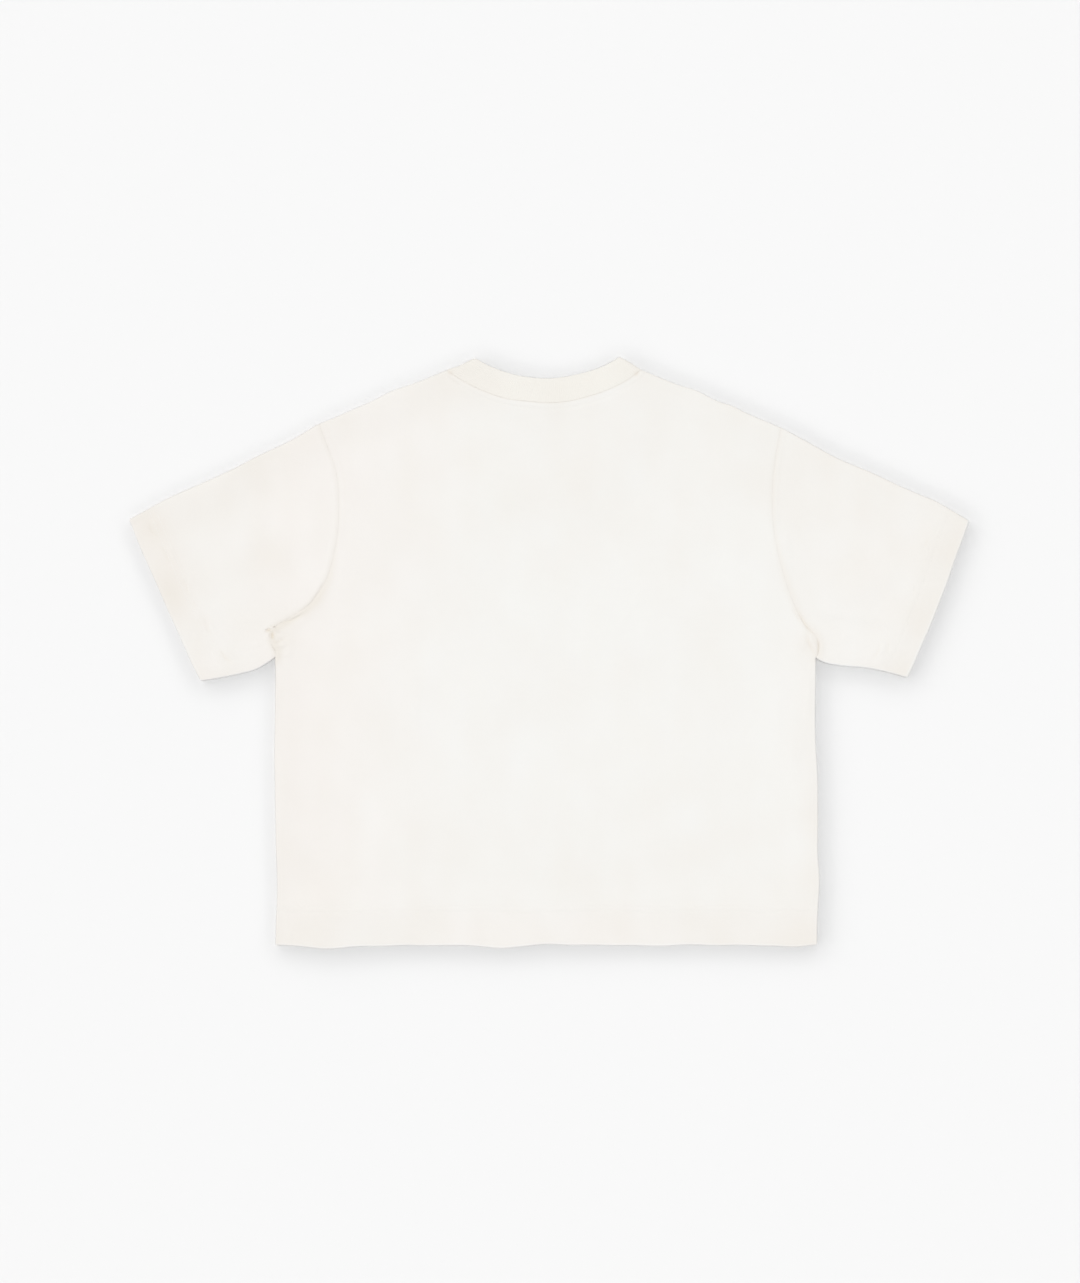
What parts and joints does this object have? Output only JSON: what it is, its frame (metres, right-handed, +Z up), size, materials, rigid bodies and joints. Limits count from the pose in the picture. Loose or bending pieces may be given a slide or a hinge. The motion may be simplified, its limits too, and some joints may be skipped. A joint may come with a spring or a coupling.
{
  "type": "t-shirt",
  "caption": "Plain boxy crew-neck T-shirt with wide short sleeves and a rib collar, lying flat with its back uppermost.",
  "frame": {"origin": "middle of the garment's bounding box, on the surface it lies on", "axes": "+X to the right as seen from above, +Y from the hem to the collar, +Z up out of the cloth's back"},
  "size_m": [0.869, 0.609, 0.0057],
  "materials": {
    "jersey": "matte off-white cotton jersey",
    "rib": "matte off-white cotton rib"
  },
  "bodies": {
    "root": {"back_panel": "jersey", "front_panel": "jersey", "sleeve_left": "jersey", "sleeve_right": "jersey", "collar": "rib"}
  },
  "joints": []
}
